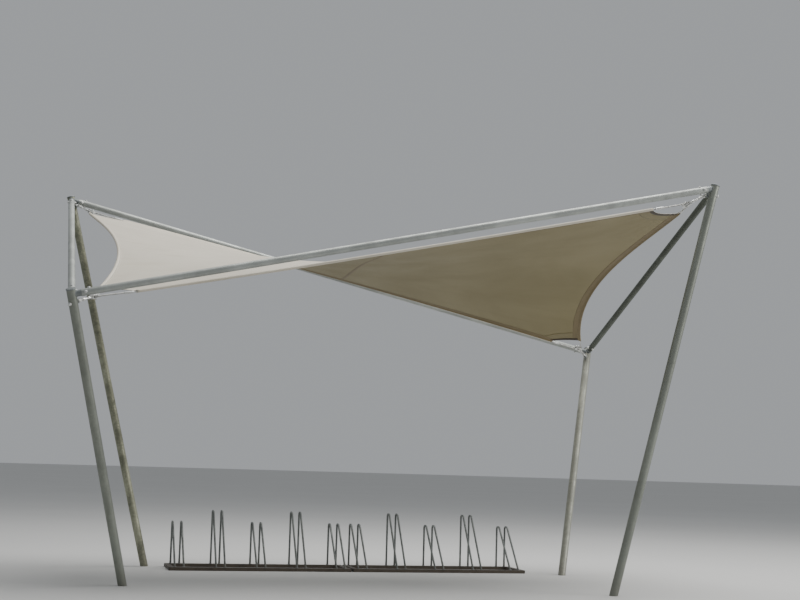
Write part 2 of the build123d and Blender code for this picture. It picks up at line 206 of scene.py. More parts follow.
def surface_mesh(name, blocks, uv=None, lower=None):
    """One mesh from several grids of points, with closed shells turned outwards.

    Each block is (points, closed along the first index, closed along the second, cap the ends).
    Quads join each point to the next in both directions, and a cap is one face over an end ring.
    Where lower is given, it says for each column of the grid whether its faces take the second
    finish.
    """
    points, quads, caps, start = [], [], [], 0
    for grid, closed_a, closed_b, capped in blocks:
        rows, cols = grid.shape[:2]
        index = start + np.arange(rows * cols).reshape(rows, cols)
        a = np.concatenate([index, index[:1]], 0) if closed_a else index
        a = np.concatenate([a, a[:, :1]], 1) if closed_b else a
        quads.append(np.stack([a[:-1, :-1], a[:-1, 1:], a[1:, 1:], a[1:, :-1]], -1).reshape(-1, 4))
        if capped:
            caps += [index[0][::-1].tolist(), index[-1].tolist()]
        points.append(grid.reshape(-1, 3))
        start += rows * cols
    mesh = bpy.data.meshes.new(name)
    faces = np.concatenate(quads)
    mesh.from_pydata(np.concatenate(points), [], faces.tolist() + caps, shade_flat=False)
    mesh.polygons.foreach_set("use_smooth", np.arange(len(faces) + len(caps)) < len(faces))
    if lower is not None:
        second = np.concatenate([np.tile(lower, len(faces) // len(lower)), np.zeros(len(caps))])
        mesh.polygons.foreach_set("material_index", second.astype(np.int32))
    if uv is not None:
        corners = np.concatenate([faces.reshape(-1), *caps])
        layer = mesh.uv_layers.new(name="UVMap")
        layer.data.foreach_set("uv", uv.reshape(-1, 2)[corners].astype(np.float32).reshape(-1))
    mesh.update(calc_edges=True)
    if all(closed_b or closed_a for _, closed_a, closed_b, _ in blocks):
        shell = bmesh.new()
        shell.from_mesh(mesh)
        bmesh.ops.recalc_face_normals(shell, faces=shell.faces)
        shell.to_mesh(mesh)
        shell.free()
    return mesh


def along_path(path, side, lift, profile, swell):
    """Carry a closed profile along a path: point + swell times (x times side + y times lift)."""
    across, up = profile[None, :, :1], profile[None, :, 1:]
    return path[:, None] + swell[:, None, None] * (across * side[:, None] + up * lift[:, None])


def arc_profile(radius, angle):
    """Points of an arc: radius times (cos a, sin a)."""
    return radius * np.stack([np.cos(angle), np.sin(angle)], -1)


def ring_profile(radius, count):
    """Points of a whole circle at evenly spaced angles."""
    return arc_profile(radius, np.linspace(0, 2 * np.pi, count, endpoint=False))


def cloth_profile(half_cloth, points):
    """Profile in metres from distances and heights, with the heights in half cloth thicknesses."""
    return np.array(points) * (1, half_cloth)


def round_path(path, side, lift, radius, angle):
    """Points round a path: point + radius cos(angle) times side + radius sin(angle) times lift."""
    return path + (radius * np.cos(angle))[..., None] * side + (radius * np.sin(angle))[..., None] * lift


def rounded_box(angle, power):
    """Superellipse with half sizes of one: signed powers of cos(angle) and of sin(angle)."""
    wide, high = np.cos(angle), np.sin(angle)
    return np.sign(wide) * np.abs(wide) ** power, np.sign(high) * np.abs(high) ** power


def turned_part(base, direction, stations):
    """Rings stacked along a direction, each round or hexagonal.

    Each station is (height, radius, share of hexagon). A hexagon's radius at angle a is its half
    width across flats over cos(a folded into plus or minus 30 degrees).
    """
    direction = unit(np.asarray(direction, float))
    helper = UP if abs(direction[2]) < 0.9 else np.array([1.0, 0, 0])
    side = unit(np.cross(helper, direction))
    lift = np.cross(direction, side)
    a = np.linspace(0, 2 * np.pi, 24, endpoint=False)
    folded = (a + np.pi / 6) % (np.pi / 3) - np.pi / 6
    height, radius, hexagon = np.array(stations, float).T[:, :, None]
    r = radius * ((1 - hexagon) + hexagon / np.cos(folded))
    return round_path(base + height[..., None] * direction, side, lift, r, a), False, True, True


# Stations in bolt radii: a washer with a chamfered head, or with a nut and the bolt's rounded end
WASHER = [(-0.6, 2.0, 0), (0.3, 2.0, 0), (0.36, 1.94, 0)]
HEAD = WASHER + [(0.36, 1.62, 0), (0.37, 1.6, 1), (1.5, 1.6, 1), (1.64, 1.42, 0.8), (1.66, 1.2, 0.3)]
NUT = WASHER + [(0.36, 1.5, 0.3), (0.5, 1.6, 1), (1.75, 1.6, 1), (1.9, 1.45, 0.6), (1.9, 1.0, 0),
                (2.5, 0.98, 0), (2.7, 0.8, 0)]


def bolt_end(base, direction, radius, stations):
    """A head or a nut, standing on the point base."""
    return turned_part(base, direction, np.array(stations) * (radius, radius, 1))


def through_bolt(centre, direction, half, radius):
    """Head and nut of a bolt, each half the bolt's grip from its centre."""
    return [bolt_end(centre + direction * half, direction, radius, HEAD),
            bolt_end(centre - direction * half, -direction, radius, NUT)]


def weld_bead(path, side, lift, radius, ripples):
    """A bead round a closed path: circles whose radius swells ripples times on the way round."""
    turn = np.linspace(0, 2 * np.pi, len(path), endpoint=False)
    swell = 0.86 + 0.2 * np.abs(np.sin(turn * ripples / 2)) + 0.05 * np.sin(3 * turn + 0.7)
    lift = np.broadcast_to(lift, path.shape)
    return along_path(path, side, lift, ring_profile(radius, 8), swell), True, True, False


# Where things are

def node_point(sizes, corner):
    """Meeting point of a post's axis and its two beams' axes."""
    x, y = CORNERS[corner]
    height = sizes.low_height if x == y else sizes.high_height
    return np.array([x * sizes.ring_length / 2, y * sizes.ring_depth / 2, height])


def inset_point(sizes, corner, low, high):
    """A corner point given by its insets from the ring's corner and its height."""
    x, y = CORNERS[corner]
    inset_x, inset_y, height = low if x == y else high
    return np.array([x * (sizes.ring_length / 2 - inset_x), y * (sizes.ring_depth / 2 - inset_y), height])


def post_line(sizes, corner):
    """Foot point and upward direction of a post."""
    foot = inset_point(sizes, corner, sizes.low_foot, sizes.high_foot)
    return foot, unit(node_point(sizes, corner) - foot)


def disc_axes(sizes, corner):
    """Points and directions of a corner's lug, turnbuckle and disc, as the solids have them."""
    node = node_point(sizes, corner)
    axis = post_line(sizes, corner)[1]
    centre = inset_point(sizes, corner, sizes.low_disc, sizes.high_disc)
    lug = node - axis * sizes.lug_drop
    reach = centre - lug
    outward = unit(reach - axis * (reach @ axis))
    eye = lug + outward * sizes.lug_reach
    along = unit(centre - eye)
    across = np.cross(axis, outward)
    upright = unit(np.cross(across, along))
    upright = upright * (-1 if upright[2] < 0 else 1)
    return {"centre": centre, "along": along, "upright": upright, "eye": eye, "across": across,
            "outward": outward, "lug": lug}


def edge_net(sizes):
    """The sixteen control points of the cloth's middle surface.

    Each edge is a cubic Bezier curve whose two inner points are pulled off the chord. The surface is
    the sum of the two ruled surfaces less the flat one through the corners, with its four middle
    points let down by the sag. The rear and right edges are the others turned half round.
    """
    low = inset_point(sizes, "front_left", sizes.low_edge, sizes.high_edge)
    front_high = inset_point(sizes, "front_right", sizes.low_edge, sizes.high_edge)
    left_high = inset_point(sizes, "rear_left", sizes.low_edge, sizes.high_edge)

    def bowed(start, end, pull_start, pull_end):
        """Bezier points of an edge, its thirds pulled off the chord."""
        third = (end - start) / 3
        return np.array([start, start + third + pull_start, end - third + pull_end, end])

    front = bowed(low, front_high, (0, sizes.long_bows[0], 0), (0, sizes.long_bows[1], 0))
    left = bowed(low, left_high, (sizes.end_bow, 0, sizes.end_lifts[0]), (0, 0, sizes.end_lifts[1]))
    rear = (front * HALF_TURN)[::-1]
    right = (left * HALF_TURN)[::-1]
    share = np.arange(4) / 3
    u, v = share[:, None, None], share[None, :, None]
    ruled = front[:, None] * (1 - v) + rear[:, None] * v + left[None] * (1 - u) + right[None] * u
    flat = (front[0] * (1 - u) + front[3] * u) * (1 - v) + (rear[0] * (1 - u) + rear[3] * u) * v
    net = ruled - flat
    net[1:3, 1:3, 2] -= sizes.middle_sag
    return net


def cloth_point(net, u, v):
    """Point and upward normal of the cloth's middle surface at shares u and v."""
    point = on_net(net, u, v)
    normal = unit(np.cross(on_net(net, u, v, slopes, weights), on_net(net, u, v, weights, slopes)))
    return point, normal


def beside_edge(net, edge, t, distance):
    """Cloth point and normal at share t of the front or left edge, a distance in from the edge.

    The inward share is the distance over the inward slope's part square to the edge.
    """
    zero = np.zeros_like(t)
    if edge == "front":
        run, inward = on_net(net, t, zero, slopes, weights), on_net(net, t, zero, weights, slopes)
    else:
        run, inward = on_net(net, zero, t, weights, slopes), on_net(net, zero, t, slopes, weights)
    run = unit(run)
    square = np.linalg.norm(inward - run * np.sum(run * inward, -1, keepdims=True), axis=-1)
    w = distance / square
    return cloth_point(net, t, w) if edge == "front" else cloth_point(net, w, t)


def halved(low, high, falls_short):
    """Limits between low and high, for all values at once, found by halving the interval forty times."""
    for _ in range(40):
        middle = (low + high) / 2
        short = falls_short(middle)
        low, high = np.where(short, middle, low), np.where(short, high, middle)
    return low


def share_outside_cut(net, edge, at_end, cut, distance):
    """Edge shares at which points a distance inside the edge leave an elliptical corner cut.

    A point is inside the cut while the sum of its squared distances from the corner over the squared
    half lengths, in plan, is below one.
    """
    distance = np.asarray(distance, float)
    corner = net[0, 0] if not at_end else (net[3, 0] if edge == "front" else net[0, 3])

    def inside(share):
        """Whether the points at a share from the corner are within the ellipse."""
        point, _ = beside_edge(net, edge, 1 - share if at_end else share, distance)
        return np.linalg.norm((point - corner)[..., :2] / cut[:2], axis=-1) < 1

    limit = halved(np.zeros_like(distance), np.full_like(distance, 0.4), inside)
    return 1 - limit if at_end else limit


def cut_curve(net, corner_u, corner_v, cut, angles, beyond):
    """Shares (u, v) of points on an elliptical corner cut, or beyond it, one for each angle.

    The ellipse's angle runs from the edge along u, at 0, to the edge along v, at 90 degrees. The
    shares grow by one over the reached ellipse's size, twenty times.
    """
    corner = on_net(net, corner_u, corner_v)
    half_long, half_side = cut[0] + beyond, cut[1] + beyond
    sign_u, sign_v, probe = 1 - 2 * corner_u, 1 - 2 * corner_v, 0.05
    length_u = np.linalg.norm((on_net(net, corner_u + sign_u * probe, corner_v) - corner)[:2]) / probe
    length_v = np.linalg.norm((on_net(net, corner_u, corner_v + sign_v * probe) - corner)[:2]) / probe
    du, dv = half_long * np.cos(angles) / length_u, half_side * np.sin(angles) / length_v
    for _ in range(20):
        u, v = corner_u + sign_u * du, corner_v + sign_v * dv
        away = on_net(net, u, v) - corner
        size = np.hypot(away[..., 0] / half_long, away[..., 1] / half_side)
        du, dv = du / size, dv / size
    return np.stack([corner_u + sign_u * du, corner_v + sign_v * dv], -1)


# Shader nodes

def new_finish(name):
    """An empty node material with one principled shader, and a function that adds nodes to it."""
    material = bpy.data.materials.new(name)
    material.use_nodes = True
    tree = material.node_tree
    tree.nodes.clear()
    output = tree.nodes.new("ShaderNodeOutputMaterial")
    shader = tree.nodes.new("ShaderNodeBsdfPrincipled")
    tree.links.new(shader.outputs[0], output.inputs[0])

    def put(target, value):
        if isinstance(value, bpy.types.NodeSocket):
            tree.links.new(value, target)
        elif isinstance(value, (tuple, list)) and len(value) == 3 and target.type == "RGBA":
            target.default_value = (*value, 1)
        else:
            target.default_value = value

    def add(kind, settings=None, out=0, **inputs):
        node = tree.nodes.new("ShaderNode" + kind)
        for key, value in (settings or {}).items():
            setattr(node, key, value)
        for key, value in inputs.items():
            target = node.inputs[int(key[1:])] if key[1:].isdigit() else node.inputs[key.replace("_", " ")]
            put(target, value)
        return node.outputs[out]

    def finish(**inputs):
        for key, value in inputs.items():
            put(shader.inputs[key.replace("_", " ")], value)
        return material

    return add, finish


def stretched(add, x=1, y=1, z=1, source="Object"):
    """Coordinates scaled along each axis."""
    coordinates = add("TexCoord", out={"Object": 3, "UV": 2}[source])
    return add("Mapping", {"vector_type": "POINT"}, Vector=coordinates, Scale=(x, y, z))


def clouds(add, coordinates, scale, detail, rough, twist=0.0):
    """Value of a noise pattern, near 0 to 1."""
    return add("TexNoise", Vector=coordinates, Scale=scale, Detail=detail, Roughness=rough, Distortion=twist)


def span(add, value, low, high, to_low, to_high):
    """A value mapped from one range to another and clamped."""
    return add("MapRange", {"clamp": True}, Value=value, i1=low, i2=high, i3=to_low, i4=to_high)


def blended(add, share, a, b):
    """Two colours mixed by a share."""
    settings = {"data_type": "RGBA", "blend_type": "MIX", "clamp_factor": True}
    return add("Mix", settings, out=2, i0=share, i6=a, i7=b)


def layered(add, tone, layers):
    """Colours over a tone, each up to its share where its pattern rises from low to high."""
    for pattern, low, high, share, rgb in layers:
        tone = blended(add, span(add, pattern, low, high, 0.0, share), tone, rgb)
    return tone


def near_floor(add, coordinates, pattern, waver, reach, share):
    """Share of dirt that fades out at a height above the floor, which wavers with a pattern."""
    height = add("SeparateXYZ", out=2, Vector=coordinates)
    shift = span(add, pattern, 0.3, 0.7, -waver, waver)
    return span(add, add("Math", {"operation": "ADD"}, i0=height, i1=shift), 0.0, reach, share, 0.0)


def raised(add, height, strength, distance, normal=None):
    """A bump of a height pattern."""
    extra = {} if normal is None else {"Normal": normal}
    return add("Bump", Height=height, Strength=strength, Distance=distance, **extra)


def shade(rgb, factor):
    """A colour made lighter or darker."""
    return tuple(min(1.0, c * factor) for c in rgb)


def tinted(rgb, *factors):
    """A colour with each of its channels made lighter or darker."""
    return tuple(min(1.0, c * factor) for c, factor in zip(rgb, factors))


def galvanised(name, base, blotch=0.2, grime=0.35, rough=0.5):
    """Hot-dip zinc: crystal patches, cloudy blotches, runs along the tube and grime near the ground."""
    add, finish = new_finish(name)
    plain = stretched(add)
    crystals = add("TexVoronoi", {"feature": "F1"}, out=1, Vector=plain, Scale=75.0, Randomness=1.0)
    crystal = add("SeparateColor", out=0, Color=crystals)
    cloud = clouds(add, plain, 9.0, 6.0, 0.62, 0.6)
    patch = clouds(add, stretched(add, 1, 1, 0.35), 2.6, 3.0, 0.5, 0.8)
    runs = clouds(add, stretched(add, 40, 40, 1.2), 1.0, 3.0, 0.6)
    speck = clouds(add, plain, 130.0, 2.0, 0.5)
    tone = layered(add, shade(base, 1 - blotch * 0.55), [
        (crystal, 0.0, 1.0, 0.55, shade(base, 1 + blotch * 0.5)),
        (cloud, 0.36, 0.66, 0.75, shade(base, 1 - blotch)),
        (patch, 0.47, 0.66, 0.7, shade(base, 1 + blotch * 1.3)),
        (runs, 0.56, 0.78, 0.45, tinted(base, 0.72, 0.7056, 0.6768)),
        (speck, 0.68, 0.74, 0.5, tinted(base, 0.495, 0.44, 0.374)),
    ])
    tone = blended(add, near_floor(add, plain, cloud, 0.09, 0.22, grime), tone, (0.11, 0.095, 0.075))
    gloss = span(add, cloud, 0.3, 0.72, rough - 0.1, rough + 0.14)
    bump = raised(add, speck, 0.25, 0.0006, raised(add, cloud, 0.35, 0.0014))
    return finish(Base_Color=tone, Metallic=0.55, Roughness=gloss, Normal=bump)


def bright_zinc(name, base, rough=0.34):
    """Plated steel: nearly even, faintly brushed, dull in spots."""
    add, finish = new_finish(name)
    plain = stretched(add)
    cloud = clouds(add, plain, 60.0, 4.0, 0.6)
    fine = clouds(add, plain, 900.0, 2.0, 0.5)
    tone = layered(add, base, [(cloud, 0.42, 0.7, 0.6, tinted(base, 0.68, 0.6596, 0.612))])
    gloss = span(add, cloud, 0.3, 0.7, rough - 0.06, rough + 0.2)
    return finish(Base_Color=tone, Metallic=0.85, Roughness=gloss, Normal=raised(add, fine, 0.2, 0.0002))


def weld_finish(name, base):
    """Rough zinc over a weld, with small dark pits."""
    add, finish = new_finish(name)
    plain = stretched(add)
    cloud = clouds(add, plain, 120.0, 4.0, 0.6)
    pits = clouds(add, plain, 420.0, 2.0, 0.5)
    tone = layered(add, shade(base, 0.75), [(cloud, 0.35, 0.7, 1.0, shade(base, 1.15)),
                                            (pits, 0.63, 0.7, 0.7, (0.09, 0.075, 0.055))])
    return finish(Base_Color=tone, Metallic=0.4, Roughness=0.62, Normal=raised(add, cloud, 0.6, 0.001))


def cloth_finish(name, base, dirt):
    """Coated fabric: plain weave under the coating, soft clouds, faint run-off marks, small spots."""
    add, finish = new_finish(name)
    flat = stretched(add, source="UV")
    across, down = (add("TexWave", {"wave_type": "BANDS", "bands_direction": axis, "wave_profile": "SIN"},
                        out=1, Vector=flat, Scale=160.0, Distortion=0.4, Detail=1.0) for axis in "XY")
    weave = add("Math", {"operation": "MULTIPLY"}, i0=across, i1=down)
    cloud = clouds(add, flat, 1.7, 5.0, 0.55, 0.4)
    runs = clouds(add, stretched(add, 1.2, 9, 1, "UV"), 1.6, 5.0, 0.6, 0.3)
    spots = clouds(add, flat, 34.0, 3.0, 0.5)
    threads = clouds(add, stretched(add, 3, 260, 1, "UV"), 1.0, 2.0, 0.5)
    tone = layered(add, shade(base, 1.05), [
        (cloud, 0.35, 0.68, 1.0, shade(base, 0.92)),
        (runs, 0.5, 0.75, dirt, tinted(base, 0.72, 0.66, 0.55)),
        (spots, 0.71, 0.76, dirt * 1.2, tinted(base, 0.45, 0.4, 0.3)),
        (threads, 0.4, 0.7, 0.10, shade(base, 0.82)),
    ])
    tone = blended(add, span(add, weave, 0.0, 0.9, 0.14, 0.0), tone, shade(base, 0.75))
    bump = raised(add, weave, 0.35, 0.0003, raised(add, threads, 0.12, 0.0006))
    gloss = span(add, cloud, 0.3, 0.7, 0.5, 0.64)
    return finish(Base_Color=tone, Roughness=gloss, Specular_IOR_Level=0.35, Sheen_Weight=0.05, Normal=bump)


def rack_finish(name, base, rust, metal=0.5):
    """Worn zinc on rack steel: scuffs along the bar, rust spots, mud low down."""
    add, finish = new_finish(name)
    plain = stretched(add)
    cloud = clouds(add, plain, 14.0, 6.0, 0.62, 0.5)
    scuff = clouds(add, stretched(add, 60, 60, 9), 1.0, 3.0, 0.6)
    spots = clouds(add, plain, 95.0, 4.0, 0.6)
    tone = layered(add, shade(base, 1.2), [
        (cloud, 0.35, 0.68, 1.0, shade(base, 0.72)),
        (scuff, 0.58, 0.8, 0.55, shade(base, 1.7)),
        (spots, 0.6, 0.7, rust, (0.13, 0.05, 0.02)),
    ])
    tone = blended(add, near_floor(add, plain, cloud, 0.03, 0.09, 0.75), tone, (0.085, 0.068, 0.05))
    gloss = span(add, cloud, 0.3, 0.7, 0.45, 0.72)
    bump = raised(add, spots, 0.3, 0.0008, raised(add, cloud, 0.25, 0.001))
    return finish(Base_Color=tone, Metallic=metal, Roughness=gloss, Normal=bump)


def plastic_finish(name, base):
    """Matt moulded plastic with a fine grain and pale dust."""
    add, finish = new_finish(name)
    plain = stretched(add)
    grain = clouds(add, plain, 700.0, 2.0, 0.5)
    dust = clouds(add, plain, 45.0, 4.0, 0.6)
    tone = layered(add, base, [(dust, 0.45, 0.7, 0.35, (0.16, 0.14, 0.12))])
    return finish(Base_Color=tone, Roughness=0.6, Normal=raised(add, grain, 0.3, 0.0003))


# Each finish: its maker, the material's name, the colour's name and factor, and other settings
FINISH_TABLE = {
    "zinc": (galvanised, "galvanised_tube", "zinc", 1, {}),
    "zinc_grey": (galvanised, "galvanised_grey", "zinc_grey", 1, {}),
    # Right side beam: painted shade
    "zinc_dark_painted_shade": (galvanised, "galvanised_dark", "zinc_dark_painted_shade", 1, {"grime": 0.0}),
    "zinc_old": (galvanised, "galvanised_old", "zinc_old", 1, {"blotch": 0.62, "rough": 0.56}),
    "zinc_pale": (galvanised, "galvanised_pale", "zinc_pale", 1, {"blotch": 0.34, "rough": 0.54}),
    "zinc_dull": (galvanised, "galvanised_fitting", "zinc_dull", 1, {"blotch": 0.3, "grime": 0.0}),
    "bright": (bright_zinc, "bright_zinc", "bright", 1, {}),
    "rope": (bright_zinc, "rope_wire", "rope", 1, {"rough": 0.42}),
    "weld": (weld_finish, "weld", "zinc_dull", 1, {}),
    "cloth_top": (cloth_finish, "cloth_top", "cloth_top", 1, {"dirt": 0.35}),
    # The roof's underside: painted shade
    "cloth_under": (cloth_finish, "cloth_under", "cloth_under", 1, {"dirt": 0.25}),
    "hem_top": (cloth_finish, "hem_top", "cloth_top", 1.06, {"dirt": 0.3}),
    # Underside of the hems and the seam: painted shade
    "hem_under": (cloth_finish, "hem_under", "hem_under", 1, {"dirt": 0.25}),
    # Corner patches: the underside's painted shade made darker still for the doubled cloth, also painted
    # shade
    "patch": (cloth_finish, "corner_patch", "cloth_under", 0.88, {"dirt": 0.25}),
    # Underside of the edge tape: painted shade
    "tape": (cloth_finish, "edge_tape", "tape", 1, {"dirt": 0.2}),
    "rail": (rack_finish, "rack_rail", "rail", 1, {"rust": 0.5, "metal": 0.3}),
    "hoop": (rack_finish, "rack_hoop", "hoop", 1, {"rust": 0.35}),
    "plug": (plastic_finish, "rail_plug", "plug", 1, {}),
}
# Each kind of added piece: its slot, its finish or upper and lower finishes, and the node it replaces
PIECE_KINDS = {
    "roof_cloth": ("membrane_fabric", ["cloth_top", "cloth_under"], "membrane"),
    "hem_band": ("membrane_hem", ["hem_top", "hem_under"], "hem"),
    "corner_patch": ("membrane_hem", ["patch", "patch"], None),
    "corner_tape": ("membrane_hem", ["hem_top", "tape"], None),
    "cloth_seam": ("membrane_hem", ["hem_under"], None),
    "edge_rope": ("wire_rope", ["rope"], "edge_cable"),
    "rope_ferrules": ("bright_zinc", ["bright"], None),
    "turnbuckle_fixings": ("bright_zinc", ["bright"], None),
    "beam_bolts": ("bright_zinc", ["bright"], None),
    "frame_welds": ("galvanised_fittings", ["weld"], None),
    "rack_welds": ("galvanised_rack_hoops", ["weld"], None),
    "rack_plugs": ("galvanised_rack_rails", ["plug"], None),
}
FINISHES = {}


def finish_of(name):
    """A finish made once from its colour and then shared."""
    if name not in FINISHES:
        maker, label, colour_name, factor, settings = FINISH_TABLE[name]
        base = tuple(getattr(bpy.context.scene.shelter_colours, colour_name))
        FINISHES[name] = maker(label, shade(base, factor), **settings)
    return FINISHES[name]


def new_piece(kind, suffix, blocks, uv=None, lower=None):
    """Put a mesh in the scene as a piece of the root body, with the finishes of its kind."""
    slot_name, finishes, replaced = PIECE_KINDS[kind]
    piece = bpy.data.objects.new(kind + suffix, surface_mesh(kind + suffix, blocks, uv, lower))
    bpy.context.scene.collection.objects.link(piece)
    for finish in finishes:
        piece.data.materials.append(finish_of(finish))
    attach(piece, "root")
    if replaced:
        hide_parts(replaced + suffix)
    return piece


def twin_pieces(kind, name, grid, uv, lower=None):
    """A closed piece of cloth or rope, and its twin half a turn round the ring."""
    for twin, turn in ((name, 1), (OPPOSITE[name], HALF_TURN)):
        new_piece(kind, f"_{twin}", [(grid * turn, False, True, True)], uv, lower)


# Pieces

class SHELTER_OT_hems(bpy.types.Operator):
    """Four hems: cloth folded round the edge rope and welded back under itself"""

    bl_idname = "shelter.hems"
    bl_label = "Hems"

    def execute(self, context):
        s = context.scene.shelter_sizes
        net = edge_net(s)
        r, half_cloth = s.pocket_radius, s.cloth / 2
        outer = np.radians(np.linspace(-62, -298, 22))
        inner = np.radians(np.linspace(-312, -48, 18))
        weld, throat, taper = 2.1 * r, 1.35 * r, 0.003
        for edge, width, length_of_edge, under_from, count in (
            ("front", s.long_hem, s.ring_length, 0.3 * r, 220),
            ("left", s.side_hem, s.ring_depth, -0.8 * r, 120),
        ):
            profile = np.concatenate([
                cloth_profile(half_cloth, [(width, -0.8), (width, -3.0), (width - taper, -3.3),
                                           (width * 0.6, -3.3), (weld, -3.4), (throat, -5.2)]),
                arc_profile(r, outer),
                cloth_profile(half_cloth, [(throat, 4.6), (weld, 1.25), (weld, 0.4)]),
                arc_profile(r - s.cloth, inner),
                cloth_profile(half_cloth, [(weld, -0.8)]),
            ])
            distance, height = profile.T
            middle = (profile + np.roll(profile, -1, 0)) / 2
            # Faces on the underside, away from the rope, take the second finish, which is painted shade
            lower = ((middle[:, 0] > under_from) & (middle[:, 1] < -half_cloth * 0.5)).astype(np.int32)
            start = share_outside_cut(net, edge, False, s.low_cut, distance)
            end = share_outside_cut(net, edge, True, s.high_cut, distance)
            share = np.linspace(0, 1, count)[:, None]
            t = start * (1 - share) + end * share
            distance = np.broadcast_to(distance, t.shape)
            point, normal = beside_edge(net, edge, t, distance)
            metres = np.stack([t * length_of_edge, distance], -1)
            twin_pieces("hem_band", edge, point + normal * height[:, None], metres, lower)
        return {"FINISHED"}


class SHELTER_OT_corner_cloth(bpy.types.Operator):
    """Doubled cloth and folded edge tape along the concave cut of each corner"""

    bl_idname = "shelter.corner_cloth"
    bl_label = "Corner patches and tape"

    def execute(self, context):
        s = context.scene.shelter_sizes
        net = edge_net(s)
        half_cloth, wide = s.cloth / 2, s.tape_width
        steps = np.linspace(0.002, s.patch_width, 9)
        patch = cloth_profile(half_cloth, [(x, -0.8) for x in steps] + [(x, -2.8) for x in steps[::-1]])
        tape = cloth_profile(half_cloth, [
            (wide, 2.1), (wide * 0.5, 2.6), (0.001, 2.8), (-0.0012, 1.8), (-0.0018, -1),
            (-0.0012, -3.4), (0.001, -4.2), (wide * 0.5, -4.1), (wide, -3.9),
        ])
        angles = np.radians(np.linspace(1.5, 88.5, 34))[:, None]
        for corner, cu, cut in (("front_left", 0, s.low_cut), ("front_right", 1, s.high_cut)):
            for kind, profile in (("corner_patch", patch), ("corner_tape", tape)):
                shares = cut_curve(net, cu, 0, cut, angles, profile[:, 0])
                point, normal = cloth_point(net, shares[..., 0], shares[..., 1])
                metres = np.stack(np.broadcast_arrays(angles * cut[0], profile[:, 0]), -1)
                # Faces below the cloth take the second finish; for the tape that is painted shade
                lower = ((profile + np.roll(profile, -1, 0))[:, 1] < 0).astype(np.int32)
                twin_pieces(kind, corner, point + normal * profile[:, 1:], metres, lower)
        return {"FINISHED"}


class SHELTER_OT_seam(bpy.types.Operator):
    """The welded overlap where two cloth panels meet, straight across the roof in plan"""

    bl_idname = "shelter.seam"
    bl_label = "Panel seam"

    def execute(self, context):
        s = context.scene.shelter_sizes
        net = edge_net(s)
        half = s.seam_width / 2
        profile = cloth_profile(s.cloth / 2, [(-half, -0.8), (-half, -2.6), (-half * 0.9, -3.0),
                                              (half * 0.9, -3.0), (half, -2.6), (half, -0.8)])
        v = np.linspace(0.5 * s.long_hem, s.ring_depth - 0.5 * s.long_hem, 90)[:, None] / s.ring_depth
        v = np.tile(v, len(profile))
        wanted = s.seam_ends[0] * (1 - v) + s.seam_ends[1] * v + profile[:, 0]
        u = halved(np.zeros_like(v), np.ones_like(v), lambda u: on_net(net, u, v)[..., 0] < wanted)
        point, normal = cloth_point(net, u, v)
        metres = np.stack([u * s.ring_length, v * s.ring_depth], -1)
        # The seam takes the hems' underside finish, painted shade
        new_piece("cloth_seam", "", [(point + normal * profile[:, 1:], False, True, True)], metres)
        return {"FINISHED"}


class SHELTER_OT_cloth(bpy.types.Operator):
    """One continuous saddle of cloth with its tension wrinkles, cut concave at the corners"""

    bl_idname = "shelter.cloth"
    bl_label = "Roof cloth"

    def execute(self, context):
        s = context.scene.shelter_sizes
        net = edge_net(s)
        arc = np.linspace(0, np.pi / 2, 15)
        cuts = {(0, 0): s.low_cut, (1, 0): s.high_cut, (0, 1): s.high_cut, (1, 1): s.low_cut}
        under_tape, wrinkle_reach, fade_in = 0.004, 0.55, 0.1

        def boundary(side):
            """Left or right limit of the rows: a cut, the side edge, and the other cut."""
            first = cut_curve(net, side, 0, cuts[side, 0], arc, under_tape)
            last = cut_curve(net, side, 1, cuts[side, 1], arc, under_tape)[::-1]
            share = np.linspace(0, 1, s.grid_side)[1:-1, None]
            return np.concatenate([first, first[-1] * (1 - share) + last[0] * share, last])

        share = np.linspace(0, 1, s.grid_long)[None, :, None]
        shares = boundary(0)[:, None] * (1 - share) + boundary(1)[:, None] * share
        u, v = shares[..., 0], shares[..., 1]
        point, normal = cloth_point(net, u, v)
        height = np.zeros_like(u)
        for (cu, cv), cut in cuts.items():
            away = point - on_net(net, cu, cv)
            reach = np.linalg.norm(away, axis=-1)
            angle = np.arctan2(np.abs(away[..., 1]), np.abs(away[..., 0]))
            past = np.maximum(np.linalg.norm(away[..., :2] / cut[:2], axis=-1), 1)
            clear = reach * (1 - 1 / past)
            fade = np.exp(-((reach / wrinkle_reach) ** 2)) * np.clip((clear - s.tape_width) / fade_in, 0, 1)
            height += s.wrinkle * fade * np.sin(angle * 26 + 1.3 * np.sin(angle * 5 + cu) + 2 * cv)
        point = point + normal * height[..., None]
        metres = np.stack([u * s.ring_length, v * s.ring_depth], -1)
        piece = new_piece("roof_cloth", "", [(point, False, False, False)], metres)
        shell = piece.modifiers.new("thickness", "SOLIDIFY")
        shell.thickness = s.cloth
        shell.offset = 0
        # The underside takes the second finish, which is painted shade
        shell.material_offset = 1
        return {"FINISHED"}


